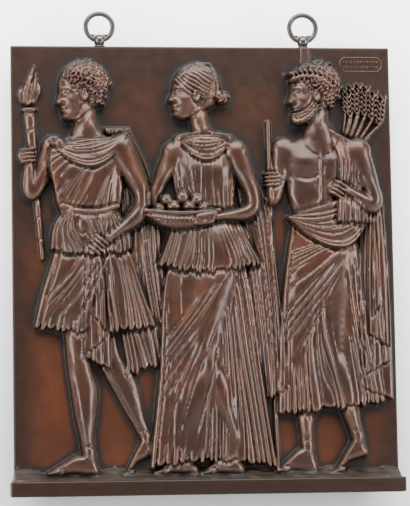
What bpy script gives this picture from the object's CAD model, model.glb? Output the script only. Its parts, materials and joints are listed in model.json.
"""A cast bronze relief plaque with two hanging rings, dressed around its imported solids."""

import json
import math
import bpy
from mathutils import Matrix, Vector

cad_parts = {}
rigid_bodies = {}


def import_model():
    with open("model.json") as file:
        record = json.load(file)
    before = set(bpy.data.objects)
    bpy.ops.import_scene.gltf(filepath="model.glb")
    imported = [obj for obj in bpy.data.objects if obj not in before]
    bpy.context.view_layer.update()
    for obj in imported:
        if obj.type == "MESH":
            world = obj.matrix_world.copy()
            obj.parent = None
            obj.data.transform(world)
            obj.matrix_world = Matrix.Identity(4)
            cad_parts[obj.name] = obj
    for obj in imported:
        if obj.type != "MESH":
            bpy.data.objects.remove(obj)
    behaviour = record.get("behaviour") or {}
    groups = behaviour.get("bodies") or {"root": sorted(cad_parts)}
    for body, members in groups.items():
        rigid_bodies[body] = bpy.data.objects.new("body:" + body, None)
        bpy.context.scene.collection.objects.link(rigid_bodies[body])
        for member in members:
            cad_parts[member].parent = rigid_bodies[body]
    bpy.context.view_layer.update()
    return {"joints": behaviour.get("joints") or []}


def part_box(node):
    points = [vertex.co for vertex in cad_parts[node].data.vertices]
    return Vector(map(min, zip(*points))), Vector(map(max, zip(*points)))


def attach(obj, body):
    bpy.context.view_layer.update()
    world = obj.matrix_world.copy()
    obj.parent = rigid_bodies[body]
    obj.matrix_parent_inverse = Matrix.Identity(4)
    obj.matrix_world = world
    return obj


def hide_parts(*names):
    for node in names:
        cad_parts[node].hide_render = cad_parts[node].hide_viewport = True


bl_info = {
    "name": "Bronze Relief Plaque",
    "version": (1, 0, 0),
    "blender": (4, 5, 0),
    "location": "View3D > Sidebar > Plaque",
    "description": "Casts a bronze relief plaque with its studs, rings, label and studio",
    "category": "Add Mesh",
}

import bmesh
import bpy
import numpy as np
from bpy.props import FloatProperty, FloatVectorProperty, IntProperty, PointerProperty
from mathutils import Matrix, Vector

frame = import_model()
LOW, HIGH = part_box("plaque")
RING_LOW, RING_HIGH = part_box("ring_right")
MM = 0.001
WIRE = (RING_HIGH.y - RING_LOW.y) / 2
JOINTS = {joint["child"]: joint for joint in frame["joints"]}
# the longest a triangle of the face may be, as a share of the face
COARSEST = 0.013


# ---------------------------------------------------------------- what a user may change
class PlaqueSizes(bpy.types.PropertyGroup):
    """Sizes of the casting, its label and its rings"""
    slab_width: FloatProperty(name="Slab width", description="Width of the flat slab above the ledge",
                              default=0.333, unit="LENGTH")
    slab_thickness: FloatProperty(name="Slab thickness", description="From the flat back to the ground of the relief",
                                  default=0.009, unit="LENGTH")
    arris: FloatProperty(name="Arris", description="Rounding of the slab's front edges", default=0.0012, unit="LENGTH")
    ledge_height: FloatProperty(name="Ledge height", description="Height of the plain ledge under the figures",
                                default=0.013, unit="LENGTH")
    ledge_depth: FloatProperty(name="Ledge depth", description="From the flat back to the ledge's front",
                               default=0.025, unit="LENGTH")
    ledge_rounding: FloatProperty(name="Ledge rounding", description="Rounding of the ledge's edges",
                                  default=0.0016, unit="LENGTH")
    relief_levels: IntProperty(name="Relief levels", description="How often the face is halved to carry the relief",
                               default=9, min=6, max=10)
    triangle_limit: IntProperty(name="Triangles", description="Triangles on the relief's face", default=186000)
    label_width: FloatProperty(name="Label width", description="Width of the little frame at the top right",
                               default=0.037, unit="LENGTH")
    label_height: FloatProperty(name="Label height", description="Height of the little frame",
                                default=0.0125, unit="LENGTH")
    label_line: FloatProperty(name="Label line", description="Thickness of the label's raised lines",
                              default=0.0009, unit="LENGTH")
    ring_radius: FloatProperty(name="Ring radius", description="From a ring's centre to the middle of its wire",
                               default=(RING_HIGH.z - RING_LOW.z) / 2 - WIRE, unit="LENGTH")
    wire_radius: FloatProperty(name="Wire radius", description="Radius of a ring's wire", default=WIRE, unit="LENGTH")
    ball_radius: FloatProperty(name="Ball radius", description="Radius of the ball that holds a ring",
                               default=0.0055, unit="LENGTH")
    ring_play: FloatProperty(name="Ring play", description="Free space round the wire in the ball",
                             default=0.0004, unit="LENGTH")
    foot_radius: FloatProperty(name="Foot radius", description="Half the width of a ball's foot",
                               default=0.0052, unit="LENGTH")


class PlaqueColours(bpy.types.PropertyGroup):
    """Colours of the patina, as the bare surface has them"""
    ground: FloatVectorProperty(name="Ground", description="Flat ground of the relief", subtype="COLOR",
                                default=(0.034, 0.0100, 0.0036))
    ground_bright: FloatVectorProperty(name="Bright ground", description="Orange-brown clouds in the ground",
                                       subtype="COLOR", default=(0.052, 0.0135, 0.0038))
    ground_dark: FloatVectorProperty(name="Dark ground", description="Ground towards the slab's edges",
                                     subtype="COLOR", default=(0.0125, 0.0052, 0.0026))
    figures: FloatVectorProperty(name="Figures", description="Raised work", subtype="COLOR",
                                 default=(0.018, 0.0078, 0.0046))
    figures_red: FloatVectorProperty(name="Warm figures", description="Reddish places on the raised work",
                                     subtype="COLOR", default=(0.034, 0.0110, 0.0045))
    hollows: FloatVectorProperty(name="Hollows", description="Near-black film in the hollows", subtype="COLOR",
                                 default=(0.0026, 0.0018, 0.0014))
    verdigris: FloatVectorProperty(name="Green black", description="Green-black film on what faces up",
                                   subtype="COLOR", default=(0.0080, 0.0074, 0.0058))
    rubbed: FloatVectorProperty(name="Rubbed edges", description="Metal rubbed bright on the crests",
                                subtype="COLOR", default=(0.085, 0.050, 0.034))
    ring: FloatVectorProperty(name="Rings", description="Olive-brown wire of the rings", subtype="COLOR",
                              default=(0.016, 0.0105, 0.0062))
    stud: FloatVectorProperty(name="Studs", description="Brown of the balls", subtype="COLOR",
                              default=(0.018, 0.0098, 0.0065))
    backdrop: FloatVectorProperty(name="Backdrop", description="Pale wall and floor", subtype="COLOR",
                                  default=(0.80, 0.80, 0.81))


class PlaqueStudio(bpy.types.PropertyGroup):
    """Camera, lamps, wall and floor"""
    camera_place: FloatVectorProperty(name="Camera place", description="Where the camera stands",
                                      default=(-0.2785, -2.201, -0.2175), subtype="TRANSLATION", unit="LENGTH")
    camera_turn: FloatVectorProperty(name="Camera turn", description="Tilt, roll and turn from a level view along +Y",
                                     default=(0.1042, 0.0170, -0.1265), subtype="EULER", unit="ROTATION")
    camera_lens: FloatProperty(name="Lens", description="Focal length in millimetres", default=182.3)
    lamp_power: FloatProperty(name="Lamp power", description="Power of each side lamp in watts", default=34.0)
    lamp_turn: FloatProperty(name="Lamp angle", description="Angle of the side lamps from the plaque's normal",
                             default=math.radians(54), subtype="ANGLE")
    lamp_distance: FloatProperty(name="Lamp distance", description="From the plaque to each side lamp",
                                 default=1.5, unit="LENGTH")
    lamp_width: FloatProperty(name="Lamp width", description="Width of each soft lamp", default=0.42, unit="LENGTH")
    lamp_height: FloatProperty(name="Lamp height", description="Height of each soft lamp", default=0.8, unit="LENGTH")
    sky: FloatProperty(name="Room light", description="Strength of the even light of the room", default=0.35)
    wall_gap: FloatProperty(name="Wall gap", description="From the plaque's back to the wall",
                            default=0.022, unit="LENGTH")
    floor_drop: FloatProperty(name="Floor drop", description="From the ledge down to the floor",
                              default=0.10, unit="LENGTH")


class PlaqueSettings(bpy.types.PropertyGroup):
    """All that a user may change"""
    sizes: PointerProperty(type=PlaqueSizes)
    colours: PointerProperty(type=PlaqueColours)
    studio: PointerProperty(type=PlaqueStudio)


# ------------------------------------------------------------------ numbers
def chance(i, seed):
    """a fixed number from 0 to 1 for item i"""
    s = np.sin(i * 12.9898 + seed * 78.233) * 43758.5453
    return s - np.floor(s)

def clamp(x, low=0.0, high=1.0):
    return np.minimum(np.maximum(x, low), high)

def ease(x):
    t = clamp(x)
    return t * t * (3 - 2 * t)

def mix(a, b, t):
    return a + (b - a) * t

def dome(q):
    """half round: 1 at q = 0 and 0 at q = 1"""
    return np.sqrt(clamp(1 - q * q))

def merge(a, b, k):
    """the larger of a and b, with the corner between them rounded over k"""
    if k <= 0:
        return np.maximum(a, b)
    t = clamp(0.5 + 0.5 * (a - b) / k)
    return mix(b, a, t) + k * t * (1 - t)

def spline(points, steps, closed=False):
    """points along a smooth line through the given rows"""
    n, out = len(points), []
    P = [np.array(p, float) for p in points]
    for i in range(n if closed else n - 1):
        p1, p2 = P[i], P[(i + 1) % n]
        p0 = P[i - 1] if closed or i > 0 else 2 * p1 - p2
        p3 = P[(i + 2) % n] if closed or i + 2 < n else 2 * p2 - p1
        for s in range(steps):
            t = s / steps
            out.append(0.5 * (2 * p1 + (p2 - p0) * t + (2 * p0 - 5 * p1 + 4 * p2 - p3) * t * t
                              + (3 * p1 - p0 - 3 * p2 + p3) * t ** 3))
    return np.array(out if closed else out + [P[-1]])

# ------------------------------------------------------------------ shapes
# a shape is its box and a function that gives, at each point of the face, the distance outside
# its outline, its height and the height of its folds
def nearest(D, X, Z):
    """for each segment of line D, how far along it and how far from it each point lies"""
    for a, b in zip(D[:-1], D[1:]):
        dx, dz = b[0] - a[0], b[1] - a[1]
        t = clamp(((X - a[0]) * dx + (Z - a[1]) * dz) / (dx * dx + dz * dz + 1e-9))
        yield t, np.hypot(X - a[0] - t * dx, Z - a[1] - t * dz), a, b

def box_of(x, z, r):
    return (np.min(x - r), np.max(x + r), np.min(z - r), np.max(z + r))

def tube(points, steps=4):
    """a rounded strand through rows of x, z, radius, base and rise"""
    D = spline(points, steps)
    def at(X, Z):
        out, high = np.full(X.shape, 1e9), np.full(X.shape, -1e9)
        for t, d, a, b in nearest(D, X, Z):
            r, base, rise = (mix(a[k], b[k], t) for k in (2, 3, 4))
            out = np.minimum(out, d - r)
            high = np.maximum(high, base + rise * dome(d / r))
        return out, high, 0
    return box_of(D[:, 0], D[:, 1], D[:, 2]), at

def ball(x, z, rx, rz, base, rise, turn=0.0):
    c, s, size = math.cos(turn), math.sin(turn), max(rx, rz)
    def at(X, Z):
        q = np.hypot(((X - x) * c + (Z - z) * s) / rx, ((Z - z) * c - (X - x) * s) / rz)
        return (q - 1) * min(rx, rz), base + rise * dome(q), 0
    return box_of(x, z, size), at

def pillow(points, base, rise, round_over, steps=3):
    """a closed outline whose edge is rounded over that width"""
    D = spline(points, steps, closed=True)
    loop = np.vstack([D, D[:1]])
    def at(X, Z):
        far, inside = np.full(X.shape, 1e9), np.zeros(X.shape, bool)
        for t, d, a, b in nearest(loop, X, Z):
            far = np.minimum(far, d)
            if a[1] != b[1]:
                inside ^= ((a[1] > Z) != (b[1] > Z)) & (X < (b[0] - a[0]) * (Z - a[1]) / (b[1] - a[1]) + a[0])
        out = np.where(inside, -far, far)
        return out, base + rise * dome(clamp(1 + out / round_over)), 0
    return box_of(D[:, 0], D[:, 1], 0), at

def within(shape, mask, grow=0.0):
    """the part of a shape that lies inside the mask, grown by that much"""
    a, b = shape[0], mask[0]
    box = (max(a[0], b[0] - grow), min(a[1], b[1] + grow), max(a[2], b[2] - grow), min(a[3], b[3] + grow))
    def at(X, Z):
        out, high, fold = shape[1](X, Z)
        return np.maximum(out, mask[1](X, Z)[0] - grow), high, fold
    return box, at

def pleats(u, v, count, seed, late=0.5):
    """fold height over cloth: u runs across it and v down it, and some folds begin part way down"""
    u = clamp(u)
    loose = np.sin(math.pi * u)
    w = u + loose * (0.050 * np.sin(2 * math.pi * (1.3 * u + 0.45 * v) + seed)
                     + 0.028 * np.sin(2 * math.pi * (2.9 * u - 0.6 * v) + 2.1 * seed)
                     + 0.010 * np.sin(2 * math.pi * (6.7 * u + 0.4 * v) + 0.7 * seed)
                     + 0.045 * np.sin(1.4 * math.pi * v + 1.3 * seed))
    i = np.floor(w * count)
    f = w * count - i
    crest = 0.5 + 0.24 * (2 * chance(i, seed) - 1)
    q = np.where(f < crest, (crest - f) / crest, (f - crest) / (1 - crest)) / 0.86
    start = late * chance(i + 57, seed) * (chance(i + 11, seed) > 0.45)
    life = np.where(start > 0, ease((v - start) / 0.3), 1.0)
    bundle = 0.5 + 0.5 * np.sin(2 * math.pi * (w * count / 3.3 + 0.35 * v) + 5 * seed)
    tall = (1 - 0.35 * chance(i + 31, seed)) * (0.62 + 0.38 * bundle)
    return tall * life * dome(q) + 0.35 * bundle * loose * ease(2 * v)

def edge_line(rows):
    """x of a cloth's edge at any height, through rows of z and x"""
    zs, xs = (np.array(c, float) for c in zip(*sorted(rows)))
    slope = np.gradient(xs, zs)
    def at(z):
        z = clamp(z, zs[0], zs[-1])
        i = np.clip(np.searchsorted(zs, z) - 1, 0, len(zs) - 2)
        h = zs[i + 1] - zs[i]
        t = (z - zs[i]) / h
        return ((2 * t ** 3 - 3 * t ** 2 + 1) * xs[i] + (t ** 3 - 2 * t ** 2 + t) * h * slope[i]
                + (3 * t ** 2 - 2 * t ** 3) * xs[i + 1] + (t ** 3 - t ** 2) * h * slope[i + 1])
    return at

def curtain(left, right, base, rise, count, fold, seed, gather=0.3, hem=3.0, slant=0.0, bow=0.0, roll=0.0,
            late=0.5, top=0.0):
    """cloth that hangs between two edges, each given as rows of z and x"""
    left_at, right_at = edge_line(left), edge_line(right)
    high, low = max(z for z, x in left), min(z for z, x in left + right)
    xs = [x for z, x in left + right]
    def at(X, Z):
        a, b = left_at(Z), right_at(Z)
        u = (X - a) / (b - a)
        uc = clamp(u)
        foot = low + hem + slant * (uc - 0.5) + bow * (1 - (2 * uc - 1) ** 2)
        head = high - top * (1 - (2 * uc - 1) ** 2)
        v = clamp((high - Z) / (high - foot))
        p = pleats(uc, v, count, seed, late)
        out = np.maximum(np.maximum(a - X, X - b), np.maximum(Z - head, foot - hem * p - Z))
        body = base + rise * dome((2 * uc - 1) * 0.98) + roll * np.sin(math.pi * v)
        return out, body, fold * p * mix(gather, 1, ease(1.3 * v))
    return (min(xs), max(xs), low - abs(slant) / 2 - abs(bow), high), at

def swag(a, b, sag, width, base, rise, count, fold, seed):
    """cloth slung between two points, with folds that hang in nested curves"""
    (ax, az), (bx, bz) = a, b
    span = math.hypot(bx - ax, bz - az)
    ux, uz = (bx - ax) / span, (bz - az) / span
    low = sag + width
    def at(X, Z):
        t = ((X - ax) * ux + (Z - az) * uz) / span
        depth = (X - ax) * uz - (Z - az) * ux
        tc = clamp(t, 0.001, 0.999)
        hang = 4 * tc * (1 - tc) + 0.06
        u = (depth / hang - sag) / width
        p = pleats(u, tc, count, seed, 0)
        ends = ease(t / 0.12) * ease((1 - t) / 0.12)
        out = np.maximum(np.maximum(-u, u - 1) * width * hang, np.maximum(-t, t - 1) * span)
        return out, base + rise * dome((2 * clamp(u) - 1) * 0.95), fold * p * mix(0.45, 1, ends)
    return (min(ax, bx) - 2, max(ax, bx) + 2, min(az, bz) - low - 2, max(az, bz) + 4), at

def fan(x, z, near, far, first, last, base, rise, count, fold, seed):
    """folds that spread from a point between two directions in degrees"""
    span = math.radians(last - first)
    def at(X, Z):
        r = np.hypot(X - x, Z - z)
        turn = np.arctan2(Z - z, X - x) - math.radians(first)
        turn = turn - 2 * math.pi * np.round((turn - span / 2) / (2 * math.pi))
        u, v = turn / span, (r - near) / (far - near)
        p = pleats(u, clamp(v), count, seed)
        out = np.maximum(np.maximum(-u, u - 1) * span * r, np.maximum(near - r, r - far))
        fade = ease(3 * v) * ease(3 * (1 - v))
        return out, base + rise * dome((2 * clamp(u) - 1) * 0.95), fold * p * fade
    return box_of(x, z, far), at

# ------------------------------------------------------------------ canvas
class Relief:
    """the height of the face above the flat ground, on a grid of x and z"""
    def __init__(self, columns, rows, x0=-166.5, x1=166.5, z0=0.0, z1=390.0):
        self.x = np.linspace(x0, x1, columns)
        self.z = np.linspace(z0, z1, rows)
        self.H = np.zeros((rows, columns))
    def window(self, box, pad):
        i0, i1 = np.searchsorted(self.x, (box[0] - pad, box[1] + pad))
        j0, j1 = np.searchsorted(self.z, (box[2] - pad, box[3] + pad))
        X, Z = np.meshgrid(self.x[i0:i1], self.z[j0:j1])
        return (slice(j0, j1), slice(i0, i1)), X, Z
    def lay(self, shape, kind="body", soft=0.0, cling=0.0, press=0.7, groove=None, keep=None):
        """puts a shape on what is there; cloth with cling lets the body under it show"""
        edge, cut, reach = TOUCH[kind]
        cut = cut if groove is None else groove
        part, X, Z = self.window(shape[0], 2.5 * reach)
        if not X.size:
            return
        out, high, fold = shape[1](X, Z)
        H = self.H[part]
        if keep:
            cut = cut * ease((np.hypot(X - keep[0], Z - keep[1]) - keep[2]) / keep[2])
        around = H - cut * np.exp(-(np.maximum(out, 0) / reach) ** 2) * clamp(H / 3, 0.25, 1)
        if cling:
            under = self.smoothed(part) + cling
            pressed = ease((under - high + 2) / 5)
            top = merge(high, under, 3.0) + fold * (1 - press * pressed)
        else:
            top = merge(high + fold, H, soft)
        self.H[part] = np.maximum(0, mix(around, top, ease(-out / edge)))
    def smoothed(self, part, reach=4.5):
        """the height with steps of the body rounded off, as cloth lies over them"""
        out = self.H
        for axis, line in ((0, self.z), (1, self.x)):
            n = max(1, int(round(reach / (line[1] - line[0]))))
            for again in range(2):
                pad = [(n + 1, n) if a == axis else (0, 0) for a in (0, 1)]
                total = np.cumsum(np.pad(out, pad, mode="edge"), axis=axis)
                size = out.shape[axis]
                out = (np.take(total, range(2 * n + 1, 2 * n + 1 + size), axis)
                       - np.take(total, range(size), axis)) / (2 * n + 1)
        return out[part]
    def swell(self, x, z, rx, rz, amount, turn=0.0):
        """raises or sinks a soft round patch"""
        c, s, size = math.cos(turn), math.sin(turn), max(rx, rz)
        part, X, Z = self.window((x - size, x + size, z - size, z + size), 0)
        q = np.hypot(((X - x) * c + (Z - z) * s) / rx, ((Z - z) * c - (X - x) * s) / rz)
        self.H[part] += amount * clamp(1 - q * q) ** 2 * (self.H[part] > 0.5)
    def stroke(self, points, steps=5):
        """raises or sinks a soft line through rows of x, z, width and amount"""
        D = spline(points, steps)
        part, X, Z = self.window(box_of(D[:, 0], D[:, 1], D[:, 2]), 0)
        best, amount = np.full(X.shape, 2.0), np.zeros(X.shape)
        for t, d, a, b in nearest(D, X, Z):
            q = d / mix(a[2], b[2], t)
            amount = np.where(q < best, mix(a[3], b[3], t), amount)
            best = np.minimum(best, q)
        self.H[part] += amount * clamp(1 - best * best) ** 2 * (self.H[part] > 0.5)
    def crease(self, shape):
        """puts the folds of a shape in place of those that are there"""
        part, X, Z = self.window(shape[0], 0)
        out, high, fold = shape[1](X, Z)
        deep, here, calm = ease(-out / 12), self.H[part], self.smoothed(part, 3.0)
        self.H[part] = np.where(here > 0.5, mix(here, calm, 0.8 * deep) + fold * deep, here)

# edge width, depth and reach of the groove round each kind of shape
TOUCH = {"body": (1.3, 1.6, 3.0), "cloth": (1.3, 1.8, 3.2), "layer": (1.1, 1.3, 2.0), "small": (0.9, 1.0, 1.6), "fine": (0.8, 0.65, 1.0)}

# ------------------------------------------------------------------ parts of a figure
ARM = [(0, 10.6), (0.10, 11.2), (0.22, 10.2), (0.34, 9.0), (0.46, 7.6), (0.55, 7.7), (0.64, 8.2), (0.76, 7.0), (0.90, 5.0), (1, 4.6)]
LEG = [(0, 19.5), (0.18, 18.5), (0.34, 15), (0.45, 11.8), (0.53, 10.6), (0.60, 11.2), (0.69, 12.6), (0.80, 10.2), (0.91, 6.9), (1, 6.5)]

def limb(joints, girth, thick, base, rise):
    """a tapered limb through its joints, with its radius given along it"""
    J = spline(joints, 4)
    along = np.concatenate([[0], np.cumsum(np.hypot(*np.diff(J, axis=0).T))])
    rows = []
    for t in np.linspace(0, 1, 13):
        x, z = (np.interp(t * along[-1], along, J[:, k]) for k in (0, 1))
        rows.append((x, z, thick * np.interp(t, *zip(*girth)), base, rise))
    return tube(rows, 2)

def arm(R, shoulder, elbow, wrist, base, rise, thick=1.0):
    (sx, sz), (ex, ez), (wx, wz) = shoulder, elbow, wrist
    R.lay(ball(sx, sz + 1, 12.4 * thick, 12.8 * thick, base, rise), soft=5.0, groove=0)
    R.lay(limb([shoulder, elbow, wrist], ARM, thick, base, rise), soft=0.8, keep=(sx, sz + 4, 17))
    upper, lower = math.atan2(ez - sz, ex - sx) + math.pi / 2, math.atan2(wz - ez, wx - ex) + math.pi / 2
    R.swell(mix(sx, ex, 0.52), mix(sz, ez, 0.52), 5.5, 12, 0.9, upper)
    R.swell(mix(ex, wx, 0.30), mix(ez, wz, 0.30), 4.8, 11, 0.8, lower)

def leg(R, hip, knee, ankle, base, rise, thick=1.0, soft=3.0, groove=None):
    """a leg in profile that faces -x, with the calf behind"""
    (hx, hz), (kx, kz), (ax, az) = hip, knee, ankle
    down = lambda t: (mix(kx, ax, t), mix(kz, az, t))
    R.lay(ball(hx + 2, hz + 12, 23 * thick, 25 * thick, base, rise + 1), soft=6.0, groove=0)
    calf, shin = down(0.32), down(0.72)
    joints = [hip, (mix(hx, kx, 0.45) - 1.5, mix(hz, kz, 0.45)), knee, (calf[0] + 2.6 * thick, calf[1]), shin, ankle]
    R.lay(limb(joints, LEG, thick, base, rise), soft=soft, groove=groove)
    R.swell(kx - 3, kz + 1, 7.5, 9, 1.2)
    R.swell(kx - 1, kz - 12, 8, 5, -0.5)
    R.stroke([(*at, 3.6, deep) for at, deep in (((down(0.15)[0] - 3.5, down(0.15)[1]), 0.4), ((down(0.5)[0] - 2.6, down(0.5)[1]), 1.0), ((down(0.88)[0] - 0.6, down(0.88)[1]), 0.5))])
    R.stroke([(down(0.22)[0] + 5, down(0.22)[1], 4, 0.3), (down(0.45)[0] + 4.5, down(0.45)[1], 4, 0.8), (down(0.62)[0] + 2.2, down(0.62)[1], 3, 0.2)])

def foot(R, ankle, toe, base, rise, heel_up=0.0):
    """a foot in profile that points to -x"""
    (ax, az), (tx, tz) = ankle, toe
    sole = tz - 3.2
    heel = sole + heel_up
    back = lambda t, lift: (mix(ax, tx, t), mix(az, tz, t) + lift)
    outline = [(ax + 5.2, az + 6), (ax + 7.4, mix(heel, az, 0.62)), (ax + 9.4, heel + 6), (ax + 8.6, heel + 1.2), (ax + 4, heel - 0.2),
               (mix(ax, tx, 0.45), mix(heel, sole, 0.45) + 1.6), (mix(ax, tx, 0.72), sole), (tx, sole + 0.3),
               (tx - 3, sole + 3), (tx, sole + 5.4), back(0.66, 4.6), back(0.34, 6.6), (ax - 5.0, az + 2), (ax - 5.4, az + 7)]
    R.lay(pillow(outline, base, rise, 6.5), soft=2.5, groove=0.7)
    R.swell(ax + 0.5, az - 2.5, 3.6, 3.8, 0.8)
    R.stroke([(ax - 2, az - 2, 2.6, 0.3), (*back(0.4, 1.5), 2.6, 0.7), (*back(0.75, 0.5), 2.2, 0.4)])
    for i in range(4):
        x, lift = mix(tx, ax, 0.20 + 0.05 * i), base + 0.8 * i
        R.lay(tube([(x, sole + 4.6 + 0.1 * i, 1.9, lift + 1.4, rise * 0.32), (x - 3.3 + 0.8 * i, sole + 3.5, 1.9, lift + 1.7, rise * 0.34),
                    (x - 7.5 + 1.6 * i, sole + 2.2, 1.9, lift + 1.2, rise * 0.30)], 3), "fine")

def hand(R, x, z, grip, base, rise, size=1.0, side=1):
    """a hand closed round a shaft that runs in the direction grip, in degrees"""
    ux, uz = math.cos(math.radians(grip)), math.sin(math.radians(grip))
    px, pz = -uz * side * size, ux * side * size
    R.lay(ball(x + 2.5 * px, z + 2.5 * pz, 7.0 * size, 7.4 * size, base, rise * 0.85, math.radians(grip)), "small")
    for i in range(4):
        cx, cz = x + ux * (i - 1.5) * 3.35 * size, z + uz * (i - 1.5) * 3.35 * size
        R.lay(tube([(cx + 6 * px, cz + 6 * pz, 1.9 * size, base + 0.6, rise * 0.8), (cx + px, cz + pz, 2.0 * size, base + 2.2, rise * 0.9),
                    (cx - 4.6 * px, cz - 4.6 * pz, 1.75 * size, base + 1.0, rise * 0.75)], 3), "fine")

def trunk(x, z, shoulder, waist, base, rise):
    """neck base, shoulders, chest and waist; z is the height of the breast"""
    (wx, wz), half = waist[0], waist[1]
    side = [(0.30, 46), (0.44, 37), (0.74, 31.5), (0.99, 25), (1.08, 12), (0.95, -8), (0.88, -22)]
    left = [(x - shoulder * a, z + h) for a, h in side] + [(wx - half, wz), (wx - half * 1.02, wz - 10)]
    right = [(x + shoulder * a, z + h) for a, h in side] + [(wx + half, wz), (wx + half * 1.02, wz - 10)]
    return pillow(left + right[::-1], base, rise, shoulder * 0.62)

def neck(R, low, high, base, rise, r=10.0):
    (lx, lz), (hx, hz) = low, high
    R.lay(tube([(lx, lz, r * 1.4, base, rise - 1), (mix(lx, hx, 0.45), mix(lz, hz, 0.45), r, base, rise), (hx, hz, r, base, rise)], 5), soft=2.0, groove=0.8)
    R.stroke([(hx + 6, hz - 2, 3.0, 0.3), (mix(lx, hx, 0.5), mix(lz, hz, 0.5), 3.2, 1.0), (lx - 5, lz + 2, 2.6, 0.6)])

FACE = [(-0.10, -0.02), (-0.24, -0.015), (-0.325, 0.01), (-0.362, 0.065), (-0.342, 0.118), (-0.378, 0.150), (-0.366, 0.180),
        (-0.392, 0.206), (-0.378, 0.248), (-0.452, 0.278), (-0.462, 0.312), (-0.425, 0.40), (-0.396, 0.475), (-0.398, 0.58),
        (-0.372, 0.70), (-0.31, 0.84), (-0.17, 0.955), (0.03, 1.0), (0.24, 0.955), (0.40, 0.82), (0.46, 0.62), (0.42, 0.43), (0.31, 0.27), (0.12, 0.16), (0.04, 0.10)]

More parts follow.
